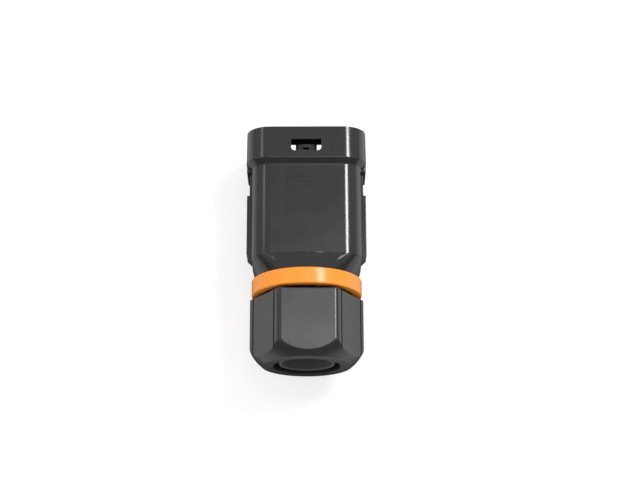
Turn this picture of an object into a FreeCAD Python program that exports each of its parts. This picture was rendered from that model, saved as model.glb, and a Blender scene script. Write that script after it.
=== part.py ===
# Field-wired three-pole AC power connector with a hexagonal cable gland.
#
# The connector lies on its back. +Y points out of the mating mouth, -Y out of
# the cable gland and +Z out of the front panel. The origin is the centre of the
# mouth, on the connector's axis. Every depth below is a distance behind the
# mouth, so a depth d lies at y = -d. All sizes are millimetres.

import FreeCAD
import Part
import math
import os

V = FreeCAD.Vector
AXIS_OUT = V(0, -1, 0)

# Shroud: the wider collar round the mating mouth
mouth_half_w = 18.1
mouth_half_h = 13.5
shroud_draft = 0.1
shroud_corner_r = 7.2
shroud_len = 9.95
shroud_wall = 1.7
shroud_cavity_depth = 8.75
lip_chamfer = 0.15

# Body: the rounded prism behind the shroud
step_len = 1.7
step_side = 1.65
step_front = 1.2
body_corner_r = 5.8
body_wall = 1.65
hip_depth = 40.35
hip_slope = 0.93
carrier_depth = 17.0
carrier_len = 15.0

# Guide rails on the two narrow sides, each with a locking notch
rail_proud = 1.55
rail_half_h = 4.2
rail_chamfer = 1.4
rail_end_gap = 1.35
rail_head_len = 2.15
rail_head_proud = 1.3
rail_head_half_h = 6.0
rail_head_corner_r = 0.5
notch_len = 6.85
notch_drop = 0.8

# Neck and threaded spigot
neck_proud = 0.4
neck_flare = 0.9
neck_len = 4.8
funnel_len = 11.0
spigot_wall = 1.8
seal_ledge = 2.0
seal_floor = 1.6
spigot_len = 15.8

# Collar ring between the neck and the nut
collar_len = 4.9
collar_proud = 1.58
collar_wall = 2.58
collar_chamfer = 0.4
collar_gap = 0.05

# Latch window with its two release lobes
window_half_w = 4.5
window_depth = 4.07
window_len = 3.64
lobe_r = 1.2
lobe_x = 3.4
lobe_depth = 6.55

# Keying rib under the shroud's front wall
key_half_w = 5.0
key_start = 0.9
key_gap = 0.15

# Contact carrier
slide_gap = 0.15
groove_start = 2.2
groove_len = 2.4
groove_drop = 1.2
recess_wall = 1.7
side_wall = 2.85
front_wall = 3.0
pin_hole_gap = 0.1
retainer_len = 3.0
wire_hole_gap = 0.55

# Latch tongue of the carrier
tongue_half_w = 3.2
tongue_inset = 5.55
tongue_thick = 1.2
tongue_tip_depth = 2.85
hook_setback = 1.5
hook_half_w = 2.5
hook_wing_rise = 3.65
hook_rise = 4.35
hook_rib_half_w = 1.3
hook_len = 3.0
hook_rake = 1.0
hook_ramp = 1.2
pocket_half_w = 0.9
pocket_len = 0.95
pocket_drop = 1.6

# Contacts
pin_r = 1.75
pin_nose = 0.8
pin_tip_depth = 4.6
earth_lead = 1.5
barrel_spacing = 1.7
barrel_gap = 0.1
barrel_wall = 1.65
wire_bore_len = 7.6
screw_back = 6.0
guard_thick = 0.3
guard_width_share = 0.83
guard_lift_share = 0.515
guard_len = 6.4

# Terminal screws
screw_r = 1.25
screw_gap = 0.05
screw_head_r = 2.0
screw_head_len = 1.5
access_gap = 0.35
cross_width = 0.5
cross_depth = 0.7

# Cable seal and clamping claw
seal_wall = 2.25
seal_lip_wall = 0.9
seal_end_inset = 0.7
seal_gap = 0.05
claw_gap = 0.15
claw_wall = 1.25
claw_sleeve_len = 6.4
claw_flange_inset = 0.3
claw_flange_len = 1.3
claw_root_step = 0.35
claw_taper = 1.85
claw_tip_wall = 1.1
claw_tip_inset = 2.0
finger_count = 12
finger_slot = 0.9

# Gland nut: every round size of the gland follows from its width across flats
nut_across_flats = 30.0
nut_wall = 2.0
nut_corner_r = 2.0
nut_gap = 0.85
nut_len = 20.4
nut_turn_deg = 1.6
nut_thread_gap = 0.08
nut_cone_gap = 0.2
flange_gap = 0.3
nut_hole_lip = 0.5
nut_hole_len = 1.6
crown_inset = 1.8
crown_flat_rise = 1.7
crown_reach = 2.0
crown_corner_rise = 4.9

# Sizes that follow from the ones above
body_half_w = mouth_half_w + shroud_draft - step_side
body_half_h = mouth_half_h + shroud_draft - step_front
rail_half_w = body_half_w + rail_proud
rail_head_half_w = body_half_w + rail_head_proud
cavity_half_w = body_half_w - body_wall
cavity_half_h = body_half_h - body_wall
cavity_corner_r = body_corner_r - body_wall
carrier_half_w = cavity_half_w - slide_gap
carrier_half_h = cavity_half_h - slide_gap
seat_depth = carrier_depth + carrier_len
collar_depth = hip_depth + neck_len
collar_end = collar_depth + collar_len
spigot_end = collar_depth + spigot_len
seal_seat_depth = collar_depth + seal_floor
nut_depth = collar_end + nut_gap
nut_end = nut_depth + nut_len
retainer_depth = seat_depth - retainer_len
barrel_depth = carrier_depth + front_wall
screw_depth = barrel_depth + screw_back

# Three barrels stand side by side across the carrier
contact_pitch = (carrier_half_w - side_wall + barrel_spacing / 2) / 1.5
barrel_r = (contact_pitch - barrel_spacing) / 2
wire_bore_r = barrel_r - barrel_wall
screw_lift = wire_bore_r * guard_lift_share
guard_half_w = wire_bore_r * guard_width_share
access_r = screw_head_r + access_gap

# The latch tongue hangs under the shroud's front wall
tongue_top_z = mouth_half_h - tongue_inset
tongue_bottom_z = tongue_top_z - tongue_thick
hook_wing_z = tongue_top_z + hook_wing_rise
hook_top_z = tongue_top_z + hook_rise
key_bottom_z = tongue_top_z + key_gap

# The gland, from the nut inwards
flat_r = nut_across_flats / 2
collar_r = flat_r + collar_proud
neck_r = flat_r + neck_proud
spigot_collar_r = collar_r - collar_wall - collar_gap
thread_r = flat_r - nut_wall
spigot_bore_r = thread_r - spigot_wall
wire_passage_r = spigot_bore_r - seal_ledge
claw_inner_r = spigot_bore_r - claw_gap - claw_wall
claw_flange_r = thread_r - claw_flange_inset
claw_root_r = claw_flange_r - claw_root_step
claw_tip_r = claw_root_r - claw_taper
seal_outer_r = claw_inner_r - seal_gap
seal_bore_r = seal_outer_r - seal_wall
seal_lip_r = seal_bore_r + seal_lip_wall
nut_hole_r = claw_tip_r - nut_hole_lip


def rounded_rect(half_w, half_h, radius, depth):
    """Closed wire of a rounded rectangle that stands across the axis."""
    ix = half_w - radius
    iz = half_h - radius
    diag = radius * math.sqrt(0.5)
    edges = []
    for sx, sz in ((1, 1), (-1, 1), (-1, -1), (1, -1)):
        side = V(sx * half_w, -depth, sz * iz)
        mid = V(sx * (ix + diag), -depth, sz * (iz + diag))
        cap = V(sx * ix, -depth, sz * half_h)
        ends = (side, cap) if sx * sz > 0 else (cap, side)
        if edges:
            edges.append(Part.LineSegment(last, ends[0]).toShape())
        else:
            first = ends[0]
        edges.append(Part.Arc(ends[0], mid, ends[1]).toShape())
        last = ends[1]
    edges.append(Part.LineSegment(last, first).toShape())
    return Part.Wire(edges)


def prism(half_w, half_h, radius, start, length):
    """Rounded rectangular block from one depth towards the gland."""
    face = Part.Face(rounded_rect(half_w, half_h, radius, start))
    return face.extrude(AXIS_OUT * length)


def tapered(front, rear):
    """Block between two rounded rectangles, each given as half sizes, radius, depth."""
    return Part.makeLoft([rounded_rect(*front), rounded_rect(*rear)], True, True)


def cylinder(radius, start, length, x=0.0, z=0.0):
    """Round bar along the axis, from one depth towards the gland."""
    return Part.makeCylinder(radius, length, V(x, -start, z), AXIS_OUT)


def box(x0, x1, depth0, depth1, z0, z1):
    """Block between two widths, two depths and two heights."""
    return Part.makeBox(x1 - x0, depth1 - depth0, z1 - z0, V(x0, -depth1, z0))


def turned(profile):
    """Solid of revolution about the axis from a list of (radius, depth) points."""
    points = [V(r, -d, 0) for r, d in profile]
    wire = Part.makePolygon(points + points[:1])
    return Part.Face(wire).revolve(V(0, 0, 0), V(0, 1, 0), 360)


def side_profile(points, half_w):
    """Block of an outline given as (depth, height) points, centred on x = 0."""
    outline = [V(-half_w, -d, z) for d, z in points]
    wire = Part.makePolygon(outline + outline[:1])
    return Part.Face(wire).extrude(V(2 * half_w, 0, 0))


def fuse_all(shapes):
    return shapes[0].multiFuse(shapes[1:]).removeSplitter()


def single_solid(shape):
    """The one solid inside a boolean result."""
    solids = shape.Solids
    if len(solids) != 1:
        raise ValueError("expected one solid, got %d" % len(solids))
    return solids[0]


def make_rail():
    """One guide rail with its notch and chamfered end, on the +X side."""
    root = body_half_w - body_wall / 2
    notch_end = shroud_len + rail_head_len + notch_len
    rail_end = hip_depth - rail_end_gap
    outline = [
        (root, shroud_len),
        (rail_half_w - notch_drop, shroud_len),
        (rail_half_w - notch_drop, notch_end),
        (rail_half_w, notch_end),
        (rail_half_w, rail_end - rail_chamfer),
        (rail_half_w - rail_chamfer, rail_end),
        (root, rail_end),
    ]
    points = [V(x, -d, -rail_half_h) for x, d in outline]
    face = Part.Face(Part.makePolygon(points + points[:1]))
    return face.extrude(V(0, 0, 2 * rail_half_h))


def make_window():
    """Cutter for the latch window: a slot with a round lobe at each lower corner."""
    top = mouth_half_h + shroud_draft + 1.0
    bottom = mouth_half_h - shroud_wall - 1.0
    cut = box(-window_half_w, window_half_w, window_depth, lobe_depth, bottom, top)
    floor = box(-lobe_x, lobe_x, window_depth, window_depth + window_len, bottom, top)
    lobes = [
        Part.makeCylinder(lobe_r, top - bottom, V(sx * lobe_x, -lobe_depth, bottom))
        for sx in (-1, 1)
    ]
    return fuse_all([cut, floor] + lobes)


def make_housing_outside():
    """Shroud, stepped body, rails and neck as one filled form."""
    rear_w = mouth_half_w + shroud_draft
    rear_h = mouth_half_h + shroud_draft
    front_w = mouth_half_w - lip_chamfer
    front_h = mouth_half_h - lip_chamfer
    lip = tapered(
        (front_w, front_h, shroud_corner_r - lip_chamfer, 0),
        (mouth_half_w, mouth_half_h, shroud_corner_r, lip_chamfer),
    )
    shroud = tapered(
        (mouth_half_w, mouth_half_h, shroud_corner_r, lip_chamfer),
        (rear_w, rear_h, shroud_corner_r, shroud_len),
    )
    step = tapered(
        (rear_w, rear_h, shroud_corner_r, shroud_len),
        (body_half_w, body_half_h, body_corner_r, shroud_len + step_len),
    )
    body = prism(body_half_w, body_half_h, body_corner_r, shroud_len, hip_depth - shroud_len)
    rails = [make_rail(), make_rail().mirror(V(0, 0, 0), V(1, 0, 0))]

    # the heads of the rails carry on behind the shroud up to the notches
    rails.append(prism(
        rail_head_half_w, rail_head_half_h, rail_head_corner_r, shroud_len, rail_head_len,
    ))

    # the body's corners run out into the neck along a cone
    hip_r = neck_r + neck_flare
    cone_len = (2 * rail_half_w - hip_r) / hip_slope
    hip = turned([
        (0, 0),
        (2 * rail_half_w, 0),
        (2 * rail_half_w, hip_depth - cone_len),
        (hip_r, hip_depth),
        (0, hip_depth),
    ])
    upper = fuse_all([lip, shroud, step, body] + rails).common(hip)

    neck = turned([
        (0, hip_depth),
        (hip_r, hip_depth),
        (neck_r, collar_depth),
        (spigot_collar_r, collar_depth),
        (spigot_collar_r, collar_end),
        (thread_r, collar_end),
        (thread_r, spigot_end),
        (0, spigot_end),
    ])
    return fuse_all([upper, neck])


def make_housing_inside():
    """Every hollow of the housing: mouth, carrier cavity, funnel and gland bore."""
    mouth_w = mouth_half_w - shroud_wall
    mouth_h = mouth_half_h - shroud_wall
    mouth_r = shroud_corner_r - shroud_wall
    mouth = prism(mouth_w, mouth_h, mouth_r, 0, shroud_cavity_depth)
    lip = tapered(
        (mouth_w + lip_chamfer, mouth_h + lip_chamfer, mouth_r + lip_chamfer, 0),
        (mouth_w, mouth_h, mouth_r, lip_chamfer),
    )
    cavity = prism(cavity_half_w, cavity_half_h, cavity_corner_r, 0, seat_depth)
    ledge = 1.8
    chamber = prism(
        cavity_half_w - ledge, cavity_half_h - ledge / 2,
        cavity_corner_r - ledge / 2, 0, seat_depth + funnel_len,
    )
    funnel = turned([
        (0, 0),
        (2 * cavity_half_w, 0),
        (cavity_half_w, seat_depth),
        (wire_passage_r, seat_depth + funnel_len),
        (0, seat_depth + funnel_len),
    ])
    funnel_end = seat_depth + funnel_len
    return fuse_all([
        mouth,
        lip,
        cavity,
        chamber.common(funnel),
        cylinder(wire_passage_r, funnel_end, spigot_end - funnel_end),
        cylinder(spigot_bore_r, seal_seat_depth, spigot_end - seal_seat_depth),
    ])


def make_housing():
    shape = make_housing_outside().cut(make_housing_inside())
    shape = shape.cut(make_window())
    key_top = mouth_half_h - shroud_wall / 2
    key = box(-key_half_w, key_half_w, key_start, window_depth, key_bottom_z, key_top)
    return single_solid(fuse_all([shape, key]))


def make_collar_ring():
    inner_r = spigot_collar_r + collar_gap
    rim_r = collar_r - collar_chamfer
    return single_solid(turned([
        (inner_r, collar_depth),
        (rim_r, collar_depth),
        (collar_r, collar_depth + collar_chamfer),
        (collar_r, collar_end - collar_chamfer),
        (rim_r, collar_end),
        (inner_r, collar_end),
    ]))


def make_tongue():
    """Spring tongue that grows out of the carrier's face and ends in the latch hook."""
    hook_start = tongue_tip_depth + hook_setback
    hook_end = hook_start + hook_len
    strap = box(
        -tongue_half_w, tongue_half_w, tongue_tip_depth, carrier_depth + recess_wall,
        tongue_bottom_z, tongue_top_z,
    )

    def hook(half_w, top_z):
        rake = hook_rake * (top_z - tongue_top_z) / (hook_top_z - tongue_top_z)
        return side_profile([
            (hook_start, tongue_bottom_z),
            (hook_start, tongue_top_z),
            (hook_start + rake, top_z),
            (hook_end, top_z),
            (hook_end + hook_ramp, tongue_top_z),
            (hook_end + hook_ramp, tongue_bottom_z),
        ], half_w)

    pocket = box(
        -pocket_half_w, pocket_half_w, hook_end - pocket_len, hook_end,
        hook_top_z - pocket_drop, hook_top_z + 1.0,
    )
    wings = hook(hook_half_w, hook_wing_z)
    rib = hook(hook_rib_half_w, hook_top_z)
    return fuse_all([strap, wings, rib]).cut(pocket)


def contact_places():
    """Name, x position and pin tip depth of the three contacts."""
    return [
        ("line", -contact_pitch, pin_tip_depth),
        ("earth", 0.0, pin_tip_depth - earth_lead),
        ("neutral", contact_pitch, pin_tip_depth),
    ]


def make_contact_carrier():
    half_w = carrier_half_w
    half_h = carrier_half_h
    corner_r = cavity_corner_r - slide_gap
    block = prism(half_w, half_h, corner_r, carrier_depth, carrier_len)
    recess = prism(
        half_w - recess_wall, half_h - recess_wall, corner_r - recess_wall,
        retainer_depth, retainer_len,
    )
    seal_floor_depth = carrier_depth + groove_start
    groove = prism(half_w, half_h, corner_r, seal_floor_depth, groove_len).cut(
        prism(
            half_w - groove_drop, half_h - groove_drop, corner_r - groove_drop,
            seal_floor_depth, groove_len,
        )
    )
    cutters = [recess, groove]
    for _, x, _ in contact_places():
        cutters.append(cylinder(pin_r + pin_hole_gap, carrier_depth, carrier_len, x))
        bore_len = retainer_depth - barrel_depth
        cutters.append(cylinder(barrel_r + barrel_gap, barrel_depth, bore_len, x))
        cutters.append(Part.makeCylinder(access_r, half_h, V(x, -screw_depth, 0)))
    block = block.cut(cutters[0].multiFuse(cutters[1:]))
    return single_solid(fuse_all([block, make_tongue()]))


def make_carrier_seal():
    """Ring seal that fills the gap between the carrier's groove and the housing."""
    start = carrier_depth + groove_start + groove_len * 0.1
    length = groove_len * 0.8
    floor = groove_drop + slide_gap
    ring = prism(cavity_half_w, cavity_half_h, cavity_corner_r, start, length)
    return single_solid(ring.cut(prism(
        cavity_half_w - floor, cavity_half_h - floor, cavity_corner_r - floor,
        start, length,
    )))


def make_contact_retainer():
    """Rear plate that snaps into the carrier and guides the three wires."""
    inset = slide_gap + recess_wall
    plate = prism(
        carrier_half_w - inset, carrier_half_h - inset,
        cavity_corner_r - slide_gap - inset, retainer_depth, retainer_len,
    )
    for _, x, _ in contact_places():
        plate = plate.cut(cylinder(wire_bore_r + wire_hole_gap, retainer_depth, retainer_len, x))
    return single_solid(plate)


def make_contact(x, tip_depth):
    """Turned contact: a pin with a tapered nose and a barrel with the wire bore behind it."""
    pin = cylinder(pin_r, tip_depth + pin_nose, barrel_depth - tip_depth - pin_nose, x)
    nose = Part.makeCone(pin_r - pin_nose, pin_r, pin_nose, V(x, -tip_depth, 0), AXIS_OUT)
    barrel = cylinder(barrel_r, barrel_depth, retainer_depth - barrel_depth, x)
    wire_bore = cylinder(wire_bore_r, retainer_depth - wire_bore_len, wire_bore_len, x)
    tapped = Part.makeCylinder(screw_r + screw_gap, barrel_r, V(x, -screw_depth, 0))
    return single_solid(fuse_all([nose, pin, barrel]).cut(wire_bore).cut(tapped))


def make_wire_guard(x):
    """Thin leaf that keeps the screw's tip off the strands."""
    top = screw_lift
    start = retainer_depth - guard_len
    return box(
        x - guard_half_w, x + guard_half_w, start, retainer_depth, top - guard_thick, top
    )


def make_terminal_screws():
    """Three cross-recess screws, each pressing on its wire guard."""
    screws = []
    head_z = barrel_r + 0.3
    top_z = head_z + screw_head_len
    for _, x, _ in contact_places():
        shank = Part.makeCylinder(screw_r, head_z - screw_lift, V(x, -screw_depth, screw_lift))
        head = Part.makeCylinder(screw_head_r, screw_head_len, V(x, -screw_depth, head_z))
        arm = screw_head_r * 0.62
        half = cross_width / 2
        floor_z = top_z - cross_depth
        cross = fuse_all([
            box(x - arm, x + arm, screw_depth - half, screw_depth + half, floor_z, top_z),
            box(x - half, x + half, screw_depth - arm, screw_depth + arm, floor_z, top_z),
        ])
        screws.append(single_solid(fuse_all([shank, head]).cut(cross)))
    return Part.makeCompound(screws)


def make_cable_seal():
    """Rubber sleeve inside the claw, with a thinner lip towards the cable entry."""
    seal_end = nut_end - seal_end_inset
    lip_depth = spigot_end + claw_flange_len
    return single_solid(turned([
        (seal_bore_r, seal_seat_depth),
        (seal_outer_r, seal_seat_depth),
        (seal_outer_r, lip_depth),
        (seal_lip_r, lip_depth),
        (seal_lip_r, seal_end),
        (seal_bore_r, seal_end),
    ]))


def make_clamping_claw():
    """Slotted claw: a sleeve in the spigot, a flange on its end and tapered fingers."""
    inner_r = claw_inner_r
    flange_end = spigot_end + claw_flange_len
    tip_depth = nut_end - claw_tip_inset
    ring = turned([
        (inner_r, spigot_end - claw_sleeve_len),
        (spigot_bore_r - claw_gap, spigot_end - claw_sleeve_len),
        (spigot_bore_r - claw_gap, spigot_end),
        (claw_flange_r, spigot_end),
        (claw_flange_r, flange_end),
        (claw_root_r, flange_end),
        (claw_tip_r, tip_depth),
        (claw_tip_r - claw_tip_wall, tip_depth),
        (inner_r, flange_end + 1.0),
    ])
    slots = []
    for i in range(finger_count):
        slot = box(
            -finger_slot / 2, finger_slot / 2, flange_end + 0.4, tip_depth + 1.0,
            0, claw_flange_r + 1.0,
        )
        slot.rotate(V(0, 0, 0), V(0, 1, 0), 360.0 * i / finger_count)
        slots.append(slot)
    return single_solid(ring.cut(slots[0].multiFuse(slots[1:])))


def make_hexagon(across_flats, corner_r, start, length):
    """Hexagonal bar with rounded corners and a flat towards +Z."""
    circum_r = across_flats / 2 / math.cos(math.radians(30))
    corners = []
    for i in range(6):
        a = math.radians(60 * i)
        corners.append(V(circum_r * math.cos(a), -start, circum_r * math.sin(a)))
    bar = Part.Face(Part.makePolygon(corners + corners[:1])).extrude(AXIS_OUT * length)
    sides = [
        e for e in bar.Edges
        if abs(e.BoundBox.YLength - length) < 1e-6 and e.BoundBox.XLength < 1e-6
    ]
    return bar.makeFillet(corner_r, sides)


def make_gland_nut():
    """Hexagonal nut with a crowned end, a thread bore and an inner cone."""
    hexagon = make_hexagon(nut_across_flats, nut_corner_r, nut_depth, nut_len)

    # the crown steepens from the end face to the corners
    clear_r = nut_across_flats
    crown_top_r = flat_r + crown_reach
    shape = hexagon.common(turned([
        (0, nut_end),
        (flat_r - crown_inset, nut_end),
        (flat_r, nut_end - crown_flat_rise),
        (crown_top_r, nut_end - crown_corner_rise),
        (clear_r, nut_end - crown_corner_rise - (clear_r - crown_top_r) * 2),
        (0, nut_end - crown_corner_rise - (clear_r - crown_top_r) * 2),
    ]))

    flange_end = spigot_end + claw_flange_len
    bore_r = thread_r + nut_thread_gap
    hole_start = nut_end - nut_hole_len
    inside = turned([
        (0, nut_depth),
        (bore_r, nut_depth),
        (bore_r, flange_end + flange_gap),
        (claw_root_r + nut_cone_gap, flange_end + flange_gap),
        (claw_tip_r + nut_cone_gap, hole_start),
        (nut_hole_r, hole_start),
        (nut_hole_r, nut_end),
        (0, nut_end),
    ])
    nut = single_solid(shape.cut(inside))
    nut.rotate(V(0, 0, 0), V(0, 1, 0), nut_turn_deg)
    return nut


def build_parts():
    """Every node's name with its shape."""
    parts = {
        "housing": make_housing(),
        "collar_ring": make_collar_ring(),
        "contact_carrier": make_contact_carrier(),
        "carrier_seal": make_carrier_seal(),
        "contact_retainer": make_contact_retainer(),
        "terminal_screws": make_terminal_screws(),
        "cable_seal": make_cable_seal(),
        "clamping_claw": make_clamping_claw(),
        "gland_nut": make_gland_nut(),
    }
    for name, x, tip_depth in contact_places():
        parts["contact_" + name] = make_contact(x, tip_depth)
        parts["wire_guard_" + name] = make_wire_guard(x)
    return parts


def main():
    os.makedirs("parts", exist_ok=True)
    for name, shape in build_parts().items():
        shape.exportStep("parts/%s.step" % name)
        b = shape.BoundBox
        print("%-18s %8.1f mm3  x %6.2f %6.2f  y %6.2f %6.2f  z %6.2f %6.2f" % (
            name, shape.Volume, b.XMin, b.XMax, b.YMin, b.YMax, b.ZMin, b.ZMax))


main()
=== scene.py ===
import bpy
import bmesh
import math
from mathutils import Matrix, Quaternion, Vector


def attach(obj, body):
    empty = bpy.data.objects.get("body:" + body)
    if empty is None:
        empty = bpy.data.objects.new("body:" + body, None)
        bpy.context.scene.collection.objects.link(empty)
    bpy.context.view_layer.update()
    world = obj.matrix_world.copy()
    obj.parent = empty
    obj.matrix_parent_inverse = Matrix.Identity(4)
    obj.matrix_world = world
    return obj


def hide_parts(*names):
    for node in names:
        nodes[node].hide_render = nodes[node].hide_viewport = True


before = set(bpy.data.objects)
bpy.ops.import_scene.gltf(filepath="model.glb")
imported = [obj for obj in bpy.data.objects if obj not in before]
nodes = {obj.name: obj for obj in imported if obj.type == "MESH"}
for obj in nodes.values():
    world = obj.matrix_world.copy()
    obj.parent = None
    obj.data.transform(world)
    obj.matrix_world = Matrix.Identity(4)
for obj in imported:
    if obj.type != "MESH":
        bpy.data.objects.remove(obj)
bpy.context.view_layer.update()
mm = 0.001
weldDistance = 1e-6
print("frame loaded:", len(nodes), "nodes")

# Places along the connector that several pieces share, in millimetres behind the mouth
station = {"neckEnd": 45.15, "collarEnd": 50.05, "nutFront": 50.9}


def newObject(name, mesh):
    obj = bpy.data.objects.new(name, mesh)
    bpy.context.scene.collection.objects.link(obj)
    return obj


def meshFrom(bm, name):
    mesh = bpy.data.meshes.new(name)
    bm.to_mesh(mesh)
    bm.free()
    mesh.update()
    return mesh


def plainMesh(obj, name):
    # the object's evaluated shape as a mesh of its own, with the modifiers gone
    bpy.context.view_layer.update()
    graph = bpy.context.evaluated_depsgraph_get()
    mesh = bpy.data.meshes.new_from_object(obj.evaluated_get(graph))
    mesh.name = name
    return mesh


def mergedCopy(node, name, flatAngle=0.35):
    # a welded copy of a CAD node with its flat faces made whole again
    bm = bmesh.new()
    bm.from_mesh(nodes[node].data)
    bmesh.ops.remove_doubles(bm, verts=bm.verts, dist=2 * weldDistance)
    bmesh.ops.dissolve_limit(
        bm, angle_limit=math.radians(flatAngle), verts=bm.verts, edges=bm.edges,
        use_dissolve_boundaries=False)
    mesh = meshFrom(bm, name)
    for layerName in ("custom_normal", "sharp_edge", "sharp_face"):
        layer = mesh.attributes.get(layerName)
        if layer:
            mesh.attributes.remove(layer)
    return newObject(name, mesh)


def evenShading(obj, sharpAngle=40):
    # smooth shading that large flat faces keep flat
    for p in obj.data.polygons:
        p.use_smooth = True
    obj.data.set_sharp_from_angle(angle=math.radians(sharpAngle))
    mod = obj.modifiers.new("evenShading", "WEIGHTED_NORMAL")
    mod.keep_sharp = True
    mod.weight = 80


def softEdges(obj, width, angle=28, segments=2):
    # a small round on every sharp edge, then even shading
    mod = obj.modifiers.new("edgeRound", "BEVEL")
    mod.width = width * mm
    mod.segments = segments
    mod.limit_method = "ANGLE"
    mod.angle_limit = math.radians(angle)
    mod.use_clamp_overlap = True
    mod.miter_outer = "MITER_ARC"
    evenShading(obj, 60)


def roundEdges(bm, edges, width):
    bmesh.ops.bevel(bm, geom=edges, offset=width * mm, segments=2, affect="EDGES",
                    profile=0.5, clamp_overlap=True)


def sharpEdges(bm, angle=35):
    return [e for e in bm.edges if e.calc_face_angle(0.0) > math.radians(angle)]


def roundedLine(points, steps=5, closed=True):
    # points are (a, b, round); a round of 0 keeps the corner
    out = []
    count = len(points)
    for i in range(count):
        a, b, rad = points[i]
        here = Vector((a, b))
        if rad <= 0 or (not closed and i in (0, count - 1)):
            out.append((a, b))
            continue
        before = Vector(points[i - 1][:2]) - here
        after = Vector(points[(i + 1) % count][:2]) - here
        turn = before.angle(after)
        reach = min(rad / math.tan(turn / 2), before.length * 0.49, after.length * 0.49)
        rad = reach * math.tan(turn / 2)
        before.normalize()
        after.normalize()
        centre = here + (before + after).normalized() * (rad / math.sin(turn / 2))
        start = here + before * reach - centre
        end = here + after * reach - centre
        sweep = start.angle_signed(end)
        for k in range(steps + 1):
            t = -sweep * k / steps
            p = centre + Vector((start.x * math.cos(t) - start.y * math.sin(t),
                                 start.x * math.sin(t) + start.y * math.cos(t)))
            out.append((p.x, p.y))
    return out


def columnMesh(columns, flatAngle=None):
    # closed loops of points side by side round the axis, joined by faces
    bm = bmesh.new()
    loops = [[bm.verts.new((x * mm, y * mm, z * mm)) for x, y, z in c] for c in columns]
    count = len(columns[0])
    for k, one in enumerate(loops):
        two = loops[(k + 1) % len(loops)]
        for i in range(count):
            j = (i + 1) % count
            bm.faces.new((one[i], one[j], two[j], two[i]))
    bmesh.ops.remove_doubles(bm, verts=bm.verts, dist=weldDistance)
    bmesh.ops.recalc_face_normals(bm, faces=bm.faces)
    if flatAngle:
        bmesh.ops.dissolve_limit(
            bm, angle_limit=math.radians(flatAngle), verts=bm.verts, edges=bm.edges,
            use_dissolve_boundaries=False)
    return bm


def latheMesh(name, profile, segments):
    # closed loop of (radius, depth) points turned about the connector's axis
    columns = []
    for k in range(segments):
        a = 2 * math.pi * k / segments
        columns.append([(r * math.cos(a), -d, r * math.sin(a)) for r, d in profile])
    return meshFrom(columnMesh(columns), name)


def smoothMin(a, b, k):
    h = max(k - abs(a - b), 0.0) / k
    return min(a, b) - h * h * k / 4


def smoothMax(a, b, k):
    return -smoothMin(-a, -b, k)


surfaceSettings = {
    "grainDetail": 2.0, "grainDepth": 0.00003, "glossScale": 160.0, "glossDetail": 3.0,
    "glossFrom": 0.3, "glossTo": 0.7, "scuffStretch": (1100.0, 260.0, 700.0),
    "scuffDetail": 4.0, "scuffFrom": 0.62, "scuffTo": 0.75,
}


def mouldedSurface(p):
    # fine spark-eroded grain, slow gloss changes and faint scuffs that every piece shares
    tree = bpy.data.node_groups.new("mouldedSurface", "ShaderNodeTree")
    for name, value in (("Grain Scale", 6000.0), ("Grain Strength", 0.1),
                        ("Gloss Low", 0.3), ("Gloss High", 0.4), ("Scuff", 0.0)):
        s = tree.interface.new_socket(name, in_out="INPUT", socket_type="NodeSocketFloat")
        s.default_value = value
    for name, kind in (("Roughness", "NodeSocketFloat"), ("Normal", "NodeSocketVector"),
                       ("Mottle", "NodeSocketFloat")):
        tree.interface.new_socket(name, in_out="OUTPUT", socket_type=kind)
    n, link = tree.nodes, tree.links.new
    inp = n.new("NodeGroupInput")
    out = n.new("NodeGroupOutput")
    coord = n.new("ShaderNodeTexCoord")
    fine = n.new("ShaderNodeTexNoise")
    fine.inputs["Detail"].default_value = p["grainDetail"]
    link(coord.outputs["Object"], fine.inputs["Vector"])
    link(inp.outputs["Grain Scale"], fine.inputs["Scale"])
    slow = n.new("ShaderNodeTexNoise")
    slow.inputs["Scale"].default_value = p["glossScale"]
    slow.inputs["Detail"].default_value = p["glossDetail"]
    link(coord.outputs["Object"], slow.inputs["Vector"])
    gloss = n.new("ShaderNodeMapRange")
    gloss.inputs["From Min"].default_value = p["glossFrom"]
    gloss.inputs["From Max"].default_value = p["glossTo"]
    link(slow.outputs["Fac"], gloss.inputs["Value"])
    link(inp.outputs["Gloss Low"], gloss.inputs["To Min"])
    link(inp.outputs["Gloss High"], gloss.inputs["To Max"])
    # scuffs are thin patches of stretched noise that dull the gloss a little
    stretch = n.new("ShaderNodeMapping")
    stretch.inputs["Scale"].default_value = p["scuffStretch"]
    link(coord.outputs["Object"], stretch.inputs["Vector"])
    scuff = n.new("ShaderNodeTexNoise")
    scuff.inputs["Scale"].default_value = 1.0
    scuff.inputs["Detail"].default_value = p["scuffDetail"]
    link(stretch.outputs["Vector"], scuff.inputs["Vector"])
    pick = n.new("ShaderNodeMapRange")
    pick.inputs["From Min"].default_value = p["scuffFrom"]
    pick.inputs["From Max"].default_value = p["scuffTo"]
    link(scuff.outputs["Fac"], pick.inputs["Value"])
    link(inp.outputs["Scuff"], pick.inputs["To Max"])
    dull = n.new("ShaderNodeMath")
    link(gloss.outputs["Result"], dull.inputs[0])
    link(pick.outputs["Result"], dull.inputs[1])
    bump = n.new("ShaderNodeBump")
    bump.inputs["Distance"].default_value = p["grainDepth"]
    link(inp.outputs["Grain Strength"], bump.inputs["Strength"])
    link(fine.outputs["Fac"], bump.inputs["Height"])
    link(dull.outputs["Value"], out.inputs["Roughness"])
    link(bump.outputs["Normal"], out.inputs["Normal"])
    link(slow.outputs["Fac"], out.inputs["Mottle"])
    return tree


surfaceGroup = mouldedSurface(surfaceSettings)


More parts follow.
